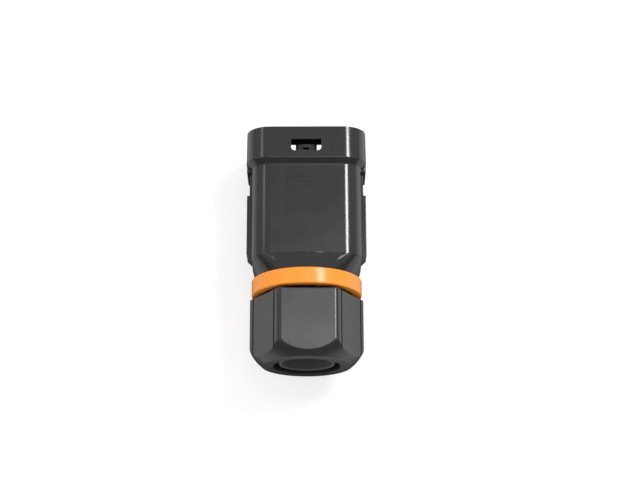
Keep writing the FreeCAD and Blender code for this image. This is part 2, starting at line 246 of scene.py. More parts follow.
def moulded(name, low, high, gloss, grain, scuff=0.0, specular=0.5):
    # a plastic whose colour drifts between two close tones; gloss is the range of the
    # roughness, grain is (scale, strength)
    mat = bpy.data.materials.new(name)
    mat.use_nodes = True
    n, link = mat.node_tree.nodes, mat.node_tree.links.new
    bsdf = n["Principled BSDF"]
    bsdf.inputs["Specular IOR Level"].default_value = specular
    surface = n.new("ShaderNodeGroup")
    surface.node_tree = surfaceGroup
    surface.inputs["Grain Scale"].default_value = grain[0]
    surface.inputs["Grain Strength"].default_value = grain[1]
    surface.inputs["Gloss Low"].default_value = gloss[0]
    surface.inputs["Gloss High"].default_value = gloss[1]
    surface.inputs["Scuff"].default_value = scuff
    tone = n.new("ShaderNodeMix")
    tone.data_type = "RGBA"
    tone.inputs["A"].default_value = (*low, 1)
    tone.inputs["B"].default_value = (*high, 1)
    link(surface.outputs["Mottle"], tone.inputs["Factor"])
    link(tone.outputs["Result"], bsdf.inputs["Base Color"])
    link(surface.outputs["Roughness"], bsdf.inputs["Roughness"])
    link(surface.outputs["Normal"], bsdf.inputs["Normal"])
    return mat


def metal(name, low, high, gloss, grain):
    mat = moulded(name, low, high, gloss, grain)
    mat.node_tree.nodes["Principled BSDF"].inputs["Metallic"].default_value = 1.0
    return mat


finish = {
    "housing": moulded("housingBlack", (0.013, 0.013, 0.014), (0.018, 0.018, 0.019),
                       (0.14, 0.18), (5200.0, 0.06), 0.05),
    "nut": moulded("nutBlack", (0.014, 0.014, 0.015), (0.02, 0.02, 0.021),
                   (0.24, 0.29), (5200.0, 0.05), 0.05),
    "collar": moulded("collarOrange", (0.91, 0.29, 0.03), (0.95, 0.32, 0.04),
                      (0.22, 0.28), (3500.0, 0.03), specular=0.32),
    "carrier": moulded("carrierBlack", (0.011, 0.011, 0.011), (0.016, 0.016, 0.016),
                       (0.42, 0.52), (5200.0, 0.12), specular=0.3),
    "retainer": moulded("retainerGrey", (0.07, 0.07, 0.075), (0.1, 0.1, 0.105),
                        (0.4, 0.5), (5200.0, 0.1)),
    "claw": moulded("clawBlack", (0.008, 0.008, 0.008), (0.014, 0.014, 0.014),
                    (0.35, 0.45), (4200.0, 0.08)),
    "seal": moulded("sealRubber", (0.075, 0.075, 0.077), (0.1, 0.1, 0.102),
                    (0.75, 0.9), (2600.0, 0.25), specular=0.15),
    "contact": metal("contactPlated", (0.75, 0.72, 0.66), (0.82, 0.8, 0.75),
                     (0.16, 0.26), (2500.0, 0.06)),
    "screw": metal("screwSteel", (0.55, 0.56, 0.58), (0.66, 0.66, 0.67),
                   (0.2, 0.34), (3000.0, 0.1)),
    "guard": metal("guardSteel", (0.6, 0.59, 0.57), (0.68, 0.67, 0.65),
                   (0.2, 0.3), (3000.0, 0.08)),
}


def paint(obj, mat):
    obj.data.materials.clear()
    obj.data.materials.append(mat)


print("materials made:", len(finish))

cadFinish = {
    "contact_retainer": "retainer",
    "carrier_seal": "seal",
    "terminal_screws": "screw",
    "wire_guard_line": "guard",
    "wire_guard_earth": "guard",
    "wire_guard_neutral": "guard",
}
for node, key in cadFinish.items():
    obj = nodes[node]
    if not obj.material_slots:
        obj.data.materials.append(None)
    for s in obj.material_slots:
        s.material = finish[key]
print("plain nodes painted")

# Sections are (half width, half height, corner radius)
housingSettings = {
    "shroud": (18.2, 13.6, 7.2), "body": (16.55, 12.4, 5.8), "draft": 0.1,
    "shroudLen": 9.95, "stepLen": 1.7, "lipWidth": 0.6, "lipRound": 0.15,
    "rearRound": 0.5, "footRound": 0.6, "bodyRow": 20.0,
    "hipStart": 39.7, "hipBend": 0.12, "hip": 40.35, "hipRadius": 16.3,
    "rimRound": 0.2, "neckBlend": 0.12, "leastBlend": 0.001, "neckRadius": 15.4,
    "collarSeat": 13.95, "seatRound": 0.1, "shoulderRound": 0.25,
    "threadRoot": 12.3, "spigotEnd": 60.95, "spigotRound": 0.5,
    "bore": 11.2, "boreRound": 0.3, "sealSeat": 46.75, "sealRound": 0.2,
    "passage": 9.2, "funnelEnd": 43.0, "funnelStart": 32.0,
    "mouth": (16.4, 11.8, 5.5), "mouthDepth": 8.75,
    "cavity": (14.9, 10.75, 4.15), "chamber": (13.1, 9.85, 3.25),
    "segments": 480, "flatAngle": 0.05,
}
windowSettings = {
    "halfWidth": 4.5, "start": 4.07, "lobeRadius": 1.2, "lobeX": 3.4, "lobeDepth": 6.55,
    "cutLow": 11.0, "cutHigh": 15.0, "edge": 0.06, "nearby": 0.6, "slack": 0.02,
    "keyHalf": 5.0, "keyStart": 0.9, "keyBottom": 8.1, "keyTop": 12.4, "keyRound": 0.15,
}
railSettings = {
    "root": 15.6, "halfWidth": 18.1, "halfHeight": 4.2, "chamfer": 1.4, "end": 39.0,
    "notchEnd": 18.95, "notchDrop": 0.8, "headHalfWidth": 18.1, "headHalfHeight": 6.0,
    "headLen": 2.15, "headSunk": 0.3, "headCorner": 0.5, "edge": 0.18,
}
markSettings = {
    "frameHalf": 5.9, "frameFront": 15.6, "frameRear": 26.3, "frameLine": 0.14,
    "barX": 8.8, "barHalf": 0.5, "barLine": 0.224, "barDepths": (14.0, 24.8, 33.4, 37.4),
    "proud": 0.05, "sunk": 0.2, "edge": 0.03,
}


def rectRadius(angle, section):
    # distance from the axis to a rounded rectangle
    halfW, halfH, corner = section
    x, z = abs(math.cos(angle)), abs(math.sin(angle))
    if x > 1e-9 and halfW / x * z <= halfH - corner:
        return halfW / x
    if z > 1e-9 and halfH / z * x <= halfW - corner:
        return halfH / z
    cx, cz = halfW - corner, halfH - corner
    along = x * cx + z * cz
    return along + math.sqrt(max(along * along - cx * cx - cz * cz + corner * corner, 0.0))


def between(one, two, t):
    return tuple(a + (b - a) * t for a, b in zip(one, two))


def housingRows(p):
    # (depth, radius as a function of the angle), from the lip outside to the lip inside
    rows = []
    drop = p["shroud"][2] - p["body"][2]
    outside = roundedLine([
        (-p["draft"] - p["lipWidth"], 0, 0), (-p["draft"], 0, p["lipRound"]),
        (0, p["shroudLen"], p["rearRound"]),
        (-drop, p["shroudLen"] + p["stepLen"], p["footRound"]), (-drop, p["bodyRow"], 0),
    ], steps=4, closed=False)
    for offset, depth in outside:
        section = between(p["body"], p["shroud"], 1 + offset / drop)
        rows.append((depth, lambda a, s=section: rectRadius(a, s)))

    # behind the hip the body's section runs over into the round neck, which also
    # stands up from the front and back panels
    hip, seat = p["hip"], station["neckEnd"]
    length, bend = seat - hip, p["hipBend"]

    def neck(depth):
        return p["hipRadius"] + (p["neckRadius"] - p["hipRadius"]) * (depth - hip) / length

    def hipRow(depth, least=None):
        past = depth - p["hipStart"]
        if abs(past) < bend:
            past = (past + bend) ** 2 / (4 * bend)
        part = max(past, 0.0) / (seat - p["hipStart"])
        section = between(p["body"], (p["neckRadius"],) * 3, part)
        low = neck(depth) if least is None else least
        blend = p["neckBlend"] * (1 - part) if least is None else 0
        if blend > p["leastBlend"]:
            return lambda a: smoothMax(rectRadius(a, section), low, blend)
        return lambda a: max(rectRadius(a, section), low)

    for k in range(-4, 5):
        depth = p["hipStart"] + bend * k / 4
        rows.append((depth, hipRow(depth, 0.0)))
    rows.append((hip, hipRow(hip, 0.0)))
    rim, rimSteps, neckSteps = p["rimRound"], 5, 16
    for k in range(rimSteps + 1):
        t = math.radians(90 * k / rimSteps)
        depth = hip + rim * (1 - math.cos(t))
        rows.append((depth, hipRow(depth, neck(depth) - rim * (1 - math.sin(t)))))
    for k in range(1, neckSteps + 1):
        depth = hip + rim + (length - rim) * k / neckSteps
        rows.append((depth, hipRow(depth)))

    end, shoulder = p["spigotEnd"], station["collarEnd"]
    turned = roundedLine([
        (p["neckRadius"], seat, 0), (p["collarSeat"], seat, p["seatRound"]),
        (p["collarSeat"], shoulder, p["shoulderRound"]),
        (p["threadRoot"], shoulder, p["seatRound"]), (p["threadRoot"], end, p["spigotRound"]),
        (p["bore"], end, p["boreRound"]), (p["bore"], p["sealSeat"], p["sealRound"]),
        (p["passage"], p["sealSeat"], p["boreRound"]), (p["passage"], p["funnelEnd"], 0),
    ], steps=4, closed=False)
    for radius, depth in turned[1:]:
        rows.append((depth, lambda a, r=radius: r))

    # inside, a funnel widens from the cable's passage into the chamber and the cavity
    funnel, funnelSteps = p["funnelEnd"] - p["funnelStart"], 11
    slope = (p["cavity"][0] - p["passage"]) / funnel
    for k in range(1, funnelSteps + 1):
        depth = p["funnelEnd"] - funnel * k / funnelSteps
        limit = p["passage"] + slope * (p["funnelEnd"] - depth)
        rows.append((depth, lambda a, m=limit: min(rectRadius(a, p["chamber"]), m)))
    inner = p["lipRound"]
    lip = tuple(v + inner for v in p["mouth"])
    for depth, section in ((p["funnelStart"], p["cavity"]), (p["mouthDepth"], p["cavity"]),
                           (p["mouthDepth"], p["mouth"]), (inner, p["mouth"]), (0.0, lip)):
        rows.append((depth, lambda a, s=section: rectRadius(a, s)))
    return rows


def prismInto(bm, points, reach):
    # a closed block between an outline and the same outline moved by reach
    low = [bm.verts.new(Vector(c) * mm) for c in points]
    high = [bm.verts.new((Vector(c) + Vector(reach)) * mm) for c in points]
    faces = [bm.faces.new(low), bm.faces.new(high)]
    for i in range(len(low)):
        j = (i + 1) % len(low)
        faces.append(bm.faces.new((low[i], low[j], high[j], high[i])))
    bmesh.ops.recalc_face_normals(bm, faces=faces)
    return faces


def windowOutline(p):
    # slot with a round lobe at each rear corner, as one outline of (x, y)
    points, steps = [(p["halfWidth"], -p["start"])], 16
    for side, first, last in ((1, 0, -120), (-1, -60, -180)):
        for k in range(steps + 1):
            t = math.radians(first + (last - first) * k / steps)
            points.append((side * p["lobeX"] + p["lobeRadius"] * math.cos(t),
                           -p["lobeDepth"] + p["lobeRadius"] * math.sin(t)))
    points.append((-p["halfWidth"], -p["start"]))
    return points


def panelMarks(p, height):
    # a thin raised frame and small plain bars on the front panel
    bm = bmesh.new()
    x, first, last, wide = p["frameHalf"], p["frameFront"], p["frameRear"], p["frameLine"]
    middle, half = (first + last) / 2, (last - first) / 2
    bars = [(0, first, x, wide), (0, last, x, wide), (-x, middle, wide, half),
            (x, middle, wide, half)]
    bars += [(side * p["barX"], depth, p["barHalf"], p["barLine"])
             for side in (-1, 1) for depth in p["barDepths"]]
    for cx, depth, halfX, halfY in bars:
        prismInto(bm, [(cx + sx * halfX, -depth + sy * halfY, height - p["sunk"])
                       for sx, sy in ((-1, -1), (1, -1), (1, 1), (-1, 1))],
                  (0, 0, p["sunk"] + p["proud"]))
    bmesh.ops.bevel(bm, geom=bm.edges[:], offset=p["edge"] * mm, segments=1,
                    affect="EDGES", clamp_overlap=True)
    return bm


def railBlocks(p, start):
    # the two guide rails with their heads and notches, edges rounded
    bm = bmesh.new()
    root, wide, end = p["root"], p["halfWidth"], p["end"]
    low, high = wide - p["notchDrop"], p["headHalfHeight"]
    corner, cornerSteps = p["headCorner"], 6
    for side in (1, -1):
        outline = [(root, start), (low, start), (low, p["notchEnd"]), (wide, p["notchEnd"]),
                   (wide, end - p["chamfer"]), (wide - p["chamfer"], end), (root, end)]
        prismInto(bm, [(side * x, -d, -p["halfHeight"]) for x, d in outline],
                  (0, 0, 2 * p["halfHeight"]))
        head = [(root, -high)]
        for k in range(cornerSteps + 1):
            t = math.radians(90 * k / cornerSteps - 90)
            head.append((p["headHalfWidth"] - corner + corner * math.cos(t),
                         -high + corner + corner * math.sin(t)))
        head += [(x, -z) for x, z in reversed(head)]
        prismInto(bm, [(side * x, -start + p["headSunk"], z) for x, z in head],
                  (0, -p["headLen"] - p["headSunk"], 0))
    roundEdges(bm, sharpEdges(bm), p["edge"])
    return bm


def makeHousing(p, w, rail, marks):
    rows = housingRows(p)
    columns = []
    for k in range(p["segments"]):
        a = 2 * math.pi * k / p["segments"]
        columns.append([(radius(a) * math.cos(a), -depth, radius(a) * math.sin(a))
                        for depth, radius in rows])
    shell = newObject("housingShell",
                      meshFrom(columnMesh(columns, p["flatAngle"]), "housingShell"))

    # the latch window is cut through the shroud's front wall
    bm = bmesh.new()
    prismInto(bm, [(x, y, w["cutLow"]) for x, y in windowOutline(w)],
              (0, 0, w["cutHigh"] - w["cutLow"]))
    cutter = newObject("windowCutter", meshFrom(bm, "windowCutter"))
    cut = shell.modifiers.new("window", "BOOLEAN")
    cut.operation = "DIFFERENCE"
    cut.solver = "EXACT"
    cut.object = cutter
    mesh = plainMesh(shell, "housingShell")
    shell.modifiers.clear()
    bpy.data.objects.remove(cutter)

    # the window's rim is rounded, and a guide key hangs from the front wall between the
    # window and the mouth
    bm = bmesh.new()
    bm.from_mesh(mesh)
    near = w["nearby"]
    halfX = (w["lobeX"] + w["lobeRadius"] + near) * mm
    rear = -(w["lobeDepth"] + w["lobeRadius"] + near) * mm
    front = -(w["start"] - near) * mm
    top = (p["shroud"][1] - p["draft"] - w["slack"]) * mm
    rim = [e for e in sharpEdges(bm, 60)
           if all(abs(v.co.x) < halfX and rear < v.co.y < front and v.co.z > top
                  for v in e.verts)]
    roundEdges(bm, rim, w["edge"])
    x, low, high = w["keyHalf"], w["keyBottom"], w["keyTop"]
    key = prismInto(bm, [(kx, -w["start"], kz)
                         for kx, kz in ((-x, low), (-x, high), (x, high), (x, low))],
                    (0, w["start"] - w["keyStart"], 0))
    roundEdges(bm, list(dict.fromkeys(e for f in key for e in f.edges)), w["keyRound"])
    for added in (railBlocks(rail, p["shroudLen"]), panelMarks(marks, p["body"][1])):
        part = meshFrom(added, "added")
        bm.from_mesh(part)
        bpy.data.meshes.remove(part)
    shell.data = meshFrom(bm, "housingShell")
    evenShading(shell)
    paint(shell, finish["housing"])
    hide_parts("housing")
    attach(shell, "housing_body")


makeHousing(housingSettings, windowSettings, railSettings, markSettings)
print("housing made")

threadSettings = {
    "rootRadius": 12.2, "crestRadius": 13.0, "pitch": 1.5, "end": 60.4, "stepsPerTurn": 96,
}


def threadTree():
    # a ridge of triangular section that winds along the axis
    tree = bpy.data.node_groups.new("threadRidge", "GeometryNodeTree")
    for name, kind in (("Root Radius", "NodeSocketFloat"), ("Crest Radius", "NodeSocketFloat"),
                       ("Pitch", "NodeSocketFloat"), ("Turns", "NodeSocketFloat"),
                       ("Steps Per Turn", "NodeSocketInt"), ("Start", "NodeSocketVector"),
                       ("Finish", "NodeSocketMaterial")):
        tree.interface.new_socket(name, in_out="INPUT", socket_type=kind)
    tree.interface.new_socket("Geometry", in_out="OUTPUT", socket_type="NodeSocketGeometry")
    n, link = tree.nodes, tree.links.new
    inp = n.new("NodeGroupInput")
    out = n.new("NodeGroupOutput")
    spiral = n.new("GeometryNodeCurveSpiral")
    link(inp.outputs["Steps Per Turn"], spiral.inputs["Resolution"])
    link(inp.outputs["Turns"], spiral.inputs["Rotations"])
    link(inp.outputs["Root Radius"], spiral.inputs["Start Radius"])
    link(inp.outputs["Root Radius"], spiral.inputs["End Radius"])
    length = n.new("ShaderNodeMath")
    length.operation = "MULTIPLY"
    link(inp.outputs["Pitch"], length.inputs[0])
    link(inp.outputs["Turns"], length.inputs[1])
    link(length.outputs[0], spiral.inputs["Height"])
    tall = n.new("ShaderNodeMath")
    tall.operation = "SUBTRACT"
    link(inp.outputs["Crest Radius"], tall.inputs[0])
    link(inp.outputs["Root Radius"], tall.inputs[1])
    ridge = n.new("GeometryNodeCurvePrimitiveCircle")
    ridge.inputs["Resolution"].default_value = 4
    link(tall.outputs[0], ridge.inputs["Radius"])
    sweep = n.new("GeometryNodeCurveToMesh")
    link(spiral.outputs["Curve"], sweep.inputs["Curve"])
    link(ridge.outputs["Curve"], sweep.inputs["Profile Curve"])
    sweep.inputs["Fill Caps"].default_value = True
    place = n.new("GeometryNodeTransform")
    place.inputs["Rotation"].default_value = (math.pi / 2, 0, 0)
    link(sweep.outputs["Mesh"], place.inputs["Geometry"])
    link(inp.outputs["Start"], place.inputs["Translation"])
    real = n.new("GeometryNodeRealizeInstances")
    link(place.outputs["Geometry"], real.inputs["Geometry"])
    paintIt = n.new("GeometryNodeSetMaterial")
    link(real.outputs["Geometry"], paintIt.inputs["Geometry"])
    link(inp.outputs["Finish"], paintIt.inputs["Material"])
    link(paintIt.outputs["Geometry"], out.inputs["Geometry"])
    return tree


def runTree(name, tree, values, mesh=None):
    # set the inputs by identifier, evaluate, and keep the result as a plain mesh
    obj = newObject(name, mesh or bpy.data.meshes.new(name + "Start"))
    mod = obj.modifiers.new(name, "NODES")
    mod.node_group = tree
    for item in tree.interface.items_tree:
        if item.in_out == "INPUT" and item.name in values:
            mod[item.identifier] = values[item.name]
    made = plainMesh(obj, name)
    obj.modifiers.clear()
    obj.data = made
    return obj


def makeThread(p):
    start = station["nutFront"]
    turns = (p["end"] - start) / p["pitch"]
    ridge = runTree("spigotThread", threadTree(), {
        "Root Radius": p["rootRadius"] * mm, "Crest Radius": p["crestRadius"] * mm,
        "Pitch": p["pitch"] * mm, "Turns": turns, "Steps Per Turn": p["stepsPerTurn"],
        "Start": (0.0, -start * mm, 0.0), "Finish": finish["housing"],
    })
    evenShading(ridge, 30)
    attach(ridge, "housing_body")


makeThread(threadSettings)
print("thread made")

carrierSettings = {"edgeRound": 0.15, "contactRound": 0.3}


def makeCarrier(p):
    carrier = mergedCopy("contact_carrier", "carrierBlock")
    softEdges(carrier, p["edgeRound"])
    paint(carrier, finish["carrier"])
    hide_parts("contact_carrier")
    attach(carrier, "housing_body")
    for way in ("line", "earth", "neutral"):
        pin = mergedCopy("contact_" + way, way + "Contact")
        softEdges(pin, p["contactRound"], angle=24, segments=3)
        paint(pin, finish["contact"])
        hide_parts("contact_" + way)
        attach(pin, "housing_body")


makeCarrier(carrierSettings)
print("carrier and contacts made")

collarSettings = {
    "outer": 16.58, "inner": 14.0, "outerRound": 0.45, "innerRound": 0.12, "segments": 256,
}


def makeCollar(p):
    front, rear = station["neckEnd"], station["collarEnd"]
    profile = roundedLine([
        (p["inner"], front, p["innerRound"]), (p["outer"], front, p["outerRound"]),
        (p["outer"], rear, p["outerRound"]), (p["inner"], rear, p["innerRound"]),
    ], steps=6)
    ring = newObject("collarRing", latheMesh("collarRing", profile, p["segments"]))
    evenShading(ring)
    paint(ring, finish["collar"])
    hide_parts("collar_ring")
    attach(ring, "housing_body")


makeCollar(collarSettings)
print("collar made")

sealSettings = {
    "bore": 7.5, "outer": 9.75, "lip": 8.4, "front": 46.75, "step": 62.25, "rear": 70.6,
    "edgeRound": 0.3, "lipRound": 0.35, "segments": 192,
}


def makeSeal(p):
    edge = p["edgeRound"]
    profile = roundedLine([
        (p["bore"], p["front"], edge), (p["outer"], p["front"], edge),
        (p["outer"], p["step"], edge), (p["lip"], p["step"], edge),
        (p["lip"], p["rear"], p["lipRound"]), (p["bore"], p["rear"], p["lipRound"]),
    ])
    sleeve = newObject("sealSleeve", latheMesh("sealSleeve", profile, p["segments"]))
    evenShading(sleeve)
    paint(sleeve, finish["seal"])
    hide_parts("cable_seal")
    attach(sleeve, "claw_body")


makeSeal(sealSettings)
print("seal made")

clawSettings = {
    "inner": 9.8, "sleeve": 11.05, "flange": 12.7, "root": 12.35, "tip": 10.5,
    "tipInner": 9.4, "front": 54.55, "flangeStart": 60.95, "flangeEnd": 62.25,
    "slotStart": 62.65, "fingerSunk": 0.25, "fingerStraight": 63.25, "fingerEnd": 69.3,
    "fingers": 12, "slot": 0.9, "edgeRound": 0.15, "footRound": 0.05, "segments": 192,
}


def taperRadius(p, depth):
    # the outside of the fingers narrows evenly from the flange to the tips
    fall = (p["root"] - p["tip"]) / (p["fingerEnd"] - p["flangeEnd"])
    return p["root"] - fall * (depth - p["flangeEnd"])


def fingerMesh(p):
    # one tapered finger between two slots, towards +Z, rounded on its edges
    start = p["slotStart"] - p["fingerSunk"]
    profile = [(p["inner"], start), (taperRadius(p, start), start),
               (p["tip"], p["fingerEnd"]), (p["tipInner"], p["fingerEnd"]),
               (p["inner"], p["fingerStraight"])]
    bm = bmesh.new()
    loops = []
    steps = 8
    for k in range(steps + 1):
        loop = []
        for r, depth in profile:
            half = math.pi / p["fingers"] - math.asin(p["slot"] / 2 / r)
            a = half * (2 * k / steps - 1)
            loop.append(bm.verts.new((r * math.sin(a) * mm, -depth * mm, r * math.cos(a) * mm)))
        loops.append(loop)
    for one, two in zip(loops, loops[1:]):
        for i in range(len(profile)):
            j = (i + 1) % len(profile)
            bm.faces.new((one[i], one[j], two[j], two[i]))
    bm.faces.new(loops[0])
    bm.faces.new(loops[-1])
    bmesh.ops.recalc_face_normals(bm, faces=bm.faces)
    roundEdges(bm, sharpEdges(bm), p["edgeRound"])
    return meshFrom(bm, "clawFinger")


def roundAxisTree():
    # copies of the given shape in even turns about the connector's axis
    tree = bpy.data.node_groups.new("roundAxis", "GeometryNodeTree")
    for name, kind in (("Geometry", "NodeSocketGeometry"), ("Count", "NodeSocketInt"),
                       ("First Turn", "NodeSocketFloat"), ("Finish", "NodeSocketMaterial")):
        tree.interface.new_socket(name, in_out="INPUT", socket_type=kind)
    tree.interface.new_socket("Geometry", in_out="OUTPUT", socket_type="NodeSocketGeometry")
    n, link = tree.nodes, tree.links.new
    inp = n.new("NodeGroupInput")
    out = n.new("NodeGroupOutput")
    points = n.new("GeometryNodePoints")
    link(inp.outputs["Count"], points.inputs["Count"])
    index = n.new("GeometryNodeInputIndex")
    share = n.new("ShaderNodeMath")
    share.operation = "DIVIDE"
    link(index.outputs["Index"], share.inputs[0])
    link(inp.outputs["Count"], share.inputs[1])
    angle = n.new("ShaderNodeMath")
    angle.operation = "MULTIPLY_ADD"
    angle.inputs[1].default_value = 2 * math.pi
    link(share.outputs[0], angle.inputs[0])
    link(inp.outputs["First Turn"], angle.inputs[2])
    turn = n.new("ShaderNodeCombineXYZ")
    link(angle.outputs[0], turn.inputs["Y"])
    place = n.new("GeometryNodeInstanceOnPoints")
    link(points.outputs[0], place.inputs["Points"])
    link(inp.outputs["Geometry"], place.inputs["Instance"])
    link(turn.outputs[0], place.inputs["Rotation"])
    real = n.new("GeometryNodeRealizeInstances")
    link(place.outputs["Instances"], real.inputs["Geometry"])
    paintIt = n.new("GeometryNodeSetMaterial")
    link(real.outputs["Geometry"], paintIt.inputs["Geometry"])
    link(inp.outputs["Finish"], paintIt.inputs["Material"])
    link(paintIt.outputs["Geometry"], out.inputs["Geometry"])
    return tree


def makeClaw(p):
    rim, foot, slot = p["edgeRound"], p["footRound"], p["slotStart"]
    profile = roundedLine([
        (p["inner"], p["front"], rim), (p["sleeve"], p["front"], rim),
        (p["sleeve"], p["flangeStart"], foot), (p["flange"], p["flangeStart"], rim),
        (p["flange"], p["flangeEnd"], rim), (p["root"], p["flangeEnd"], foot),
        (taperRadius(p, slot), slot, foot), (p["inner"], slot, foot),
    ])
    ring = newObject("clawRing", latheMesh("clawRing", profile, p["segments"]))
    paint(ring, finish["claw"])
    fingers = runTree("clawFingers", roundAxisTree(), {
        "Count": p["fingers"], "First Turn": math.pi / p["fingers"], "Finish": finish["claw"],
    }, fingerMesh(p))
    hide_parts("clamping_claw")
    for piece in (ring, fingers):
        evenShading(piece)
        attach(piece, "claw_body")


makeClaw(clawSettings)
print("claw made")

nutSettings = {
    "end": 71.3, "flat": 15.0, "turn": 1.6, "cornerRound": 1.8, "frontRound": 0.45,
    "crownInset": 1.75, "flatRise": 1.65, "crownReach": 2.1, "cornerRise": 4.9,
    "crownBlend": 0.25, "arcTop": 6.0, "slopeAbove": 0.6, "crownTop": 8.0, "rowStep": 0.16,
    "sideEnd": 9.0, "tipHeight": 1.2, "endRound": 0.5, "holeRadius": 10.0,
    "holeLength": 1.6, "coneEnd": 10.7, "coneStart": 62.55, "coneTop": 12.55,
    "bore": 13.08, "boreEdge": 0.1, "mouthChamfer": 0.35,
    "grooveFrom": 2.5, "grooveHalf": 0.32, "grooveWall": 0.06, "grooveDeep": 0.5,
    "segments": 600, "flatAngle": 0.05,
}
grooveFlats = (30, 150, 210, 330)  # the flats towards +Z and -Z have no grooves
hexTurn = math.pi / 3


def grooveMiddle(p):
    return p["flat"] * math.tan(hexTurn / 2) - p["grooveFrom"]


def hexRadius(angle, p):
    # distance from the axis to a hexagon with round corners, and how deep a fine groove
    # is there; the grooves lie beside the corners
    flat, cornerRound = p["flat"], p["cornerRound"]
    a = abs((angle - math.pi / 2 + hexTurn / 2) % hexTurn - hexTurn / 2)
    cornerAt = (flat - cornerRound) / math.cos(hexTurn / 2)
    touch = math.atan2(cornerAt * math.sin(hexTurn / 2), flat)
    if a <= touch:
        near = (p["grooveHalf"] - abs(flat * math.tan(a) - grooveMiddle(p))) / p["grooveWall"]
        plain = abs(math.sin(angle)) > math.cos(hexTurn / 2)
        near = 0.0 if plain else min(max(near, 0.0), 1.0)
        return flat / math.cos(a), p["grooveDeep"] * near
    off = hexTurn / 2 - a
    across = cornerAt * math.sin(off)
    return cornerAt * math.cos(off) + math.sqrt(cornerRound ** 2 - across ** 2), 0.0


def nutAngles(p):
    # even steps round the nut, and one at each edge of a groove
    angles = [2 * math.pi * k / p["segments"] for k in range(p["segments"])]
    outer, inner = p["grooveHalf"], p["grooveHalf"] - p["grooveWall"]
    for flatTurn in grooveFlats:
        for side in (1, -1):
            for off in (-outer, -inner, inner, outer):
                aside = math.atan((grooveMiddle(p) + off) / p["flat"])
                angles.append(math.radians(flatTurn) + side * aside)
    return sorted(angles)


def crownArc(p):
    # circle through the end face's edge, the flats' edge and the corners' edge
    ax, ay = p["flat"] - p["crownInset"], 0.0
    bx, by = p["flat"], p["flatRise"]
    cx, cy = p["flat"] + p["crownReach"], p["cornerRise"]
    d = 2 * (ax * (by - cy) + bx * (cy - ay) + cx * (ay - by))
    ux = ((ax * ax + ay * ay) * (by - cy) + (bx * bx + by * by) * (cy - ay)
          + (cx * cx + cy * cy) * (ay - by)) / d
    uy = ((ax * ax + ay * ay) * (cx - bx) + (bx * bx + by * by) * (ax - cx)
          + (cx * cx + cy * cy) * (bx - ax)) / d
    return ux, uy, math.hypot(ax - ux, ay - uy)


def makeNut(p):
    front, end = station["nutFront"], p["end"]
    arcX, arcUp, arcR = crownArc(p)

    def crown(up):
        high = min(up, p["arcTop"])
        side = arcX + math.sqrt(max(arcR ** 2 - (arcUp - high) ** 2, 0.0))
        return side + (up - high) * p["slopeAbove"]

    # rows are (crown radius, height above the end face, cut from the front round)
    fr, steps, beyond = p["frontRound"], 6, 2 * p["flat"]
    rows = []
    for k in range(steps + 1):
        t = math.radians(90 * (1 - k / steps))
        rows.append((beyond, end - front - fr + fr * math.sin(t), fr * (1 - math.cos(t))))
    rows.append((beyond, p["sideEnd"], 0.0))
    up, tipHeight = p["crownTop"], p["tipHeight"]
    while up > tipHeight:
        rows.append((crown(up), up, 0.0))
        up -= p["rowStep"]
    # the crown rolls over into the end face, and the hole's edge is round too
    hole, edge, chamfer = end - p["holeLength"], p["boreEdge"], p["mouthChamfer"]
    tip = roundedLine([
        (crown(tipHeight), end - tipHeight, 0), (crown(0.0), end, p["endRound"]),
        (p["holeRadius"], end, edge), (p["holeRadius"], hole, edge),
        (p["coneEnd"], hole, edge), (p["coneTop"], p["coneStart"], edge),
        (p["bore"], p["coneStart"], edge), (p["bore"], front + chamfer, 0),
        (p["bore"] + chamfer, front, 0),
    ], steps=steps, closed=False)
    rows += [(r, end - d, 0.0) for r, d in tip]
    turn = math.radians(p["turn"])
    columns = []
    for a in nutAngles(p):
        hexR, groove = hexRadius(a, p)
        across = hexTurn * (0.5 + math.floor(a / hexTurn)) - turn
        column = []
        for limit, up, cut in rows:
            r = smoothMin(hexR, limit, p["crownBlend"]) - cut
            deep = max(groove - (hexR - cut - r), 0.0)  # the crown runs the groove out
            column.append((r * math.cos(a - turn) - deep * math.cos(across), -(end - up),
                           r * math.sin(a - turn) - deep * math.sin(across)))
        columns.append(column)
    nut = newObject("nutBody", meshFrom(columnMesh(columns, p["flatAngle"]), "nutBody"))
    evenShading(nut, 50)
    paint(nut, finish["nut"])
    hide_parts("gland_nut")
    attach(nut, "nut_body")


makeNut(nutSettings)
print("nut made")

# the near and far tones and their reach set a painted shadow round the connector's footprint,
# seen only in reflections
floorSettings = {
    "size": 3.0, "frontDrop": -13.5, "collarDrop": -16.62, "seenTone": 0.42,
    "bounceTone": 0.9, "paintedShadeNear": 0.03, "paintedShadeFar": 0.86, "glow": 0.66,
    "mirrorGlow": 0.02, "paintedShadeReach": 0.03, "footX": 0.018, "footY": 0.0357,
}


